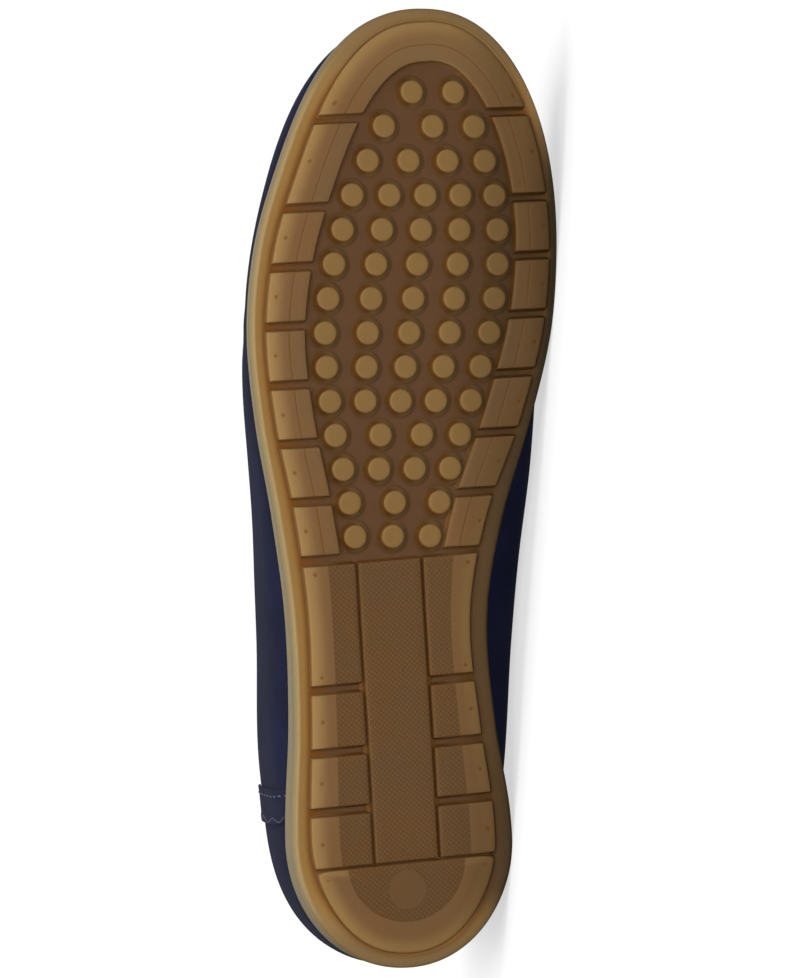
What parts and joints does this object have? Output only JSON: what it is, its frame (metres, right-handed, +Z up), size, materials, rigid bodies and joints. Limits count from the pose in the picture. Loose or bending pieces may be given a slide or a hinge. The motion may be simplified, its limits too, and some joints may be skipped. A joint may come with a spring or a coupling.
{
  "type": "slip-on shoe",
  "caption": "Flat slip-on shoe for the right foot: plain navy leather upper on a gum rubber unit sole with edge lugs, round studs and a panelled heel, lying on its inner side.",
  "frame": {"origin": "middle of the bounding box on the floor, with the shoe lying on its inner side", "axes": "+X from heel to toe along the lying shoe, +Y from the tread towards the collar, +Z up from the floor"},
  "size_m": [0.258, 0.0712, 0.0828],
  "materials": {
    "gum_rubber": "amber brown moulded rubber, half gloss",
    "navy_leather": "matte navy nubuck leather",
    "insole_leather": "plain tan sock leather",
    "strap_leather": "navy leather, stitched"
  },
  "bodies": {
    "root": {"outsole": "gum_rubber", "upper": "navy_leather", "insole": "insole_leather", "strap_lateral": "strap_leather"}
  },
  "joints": []
}
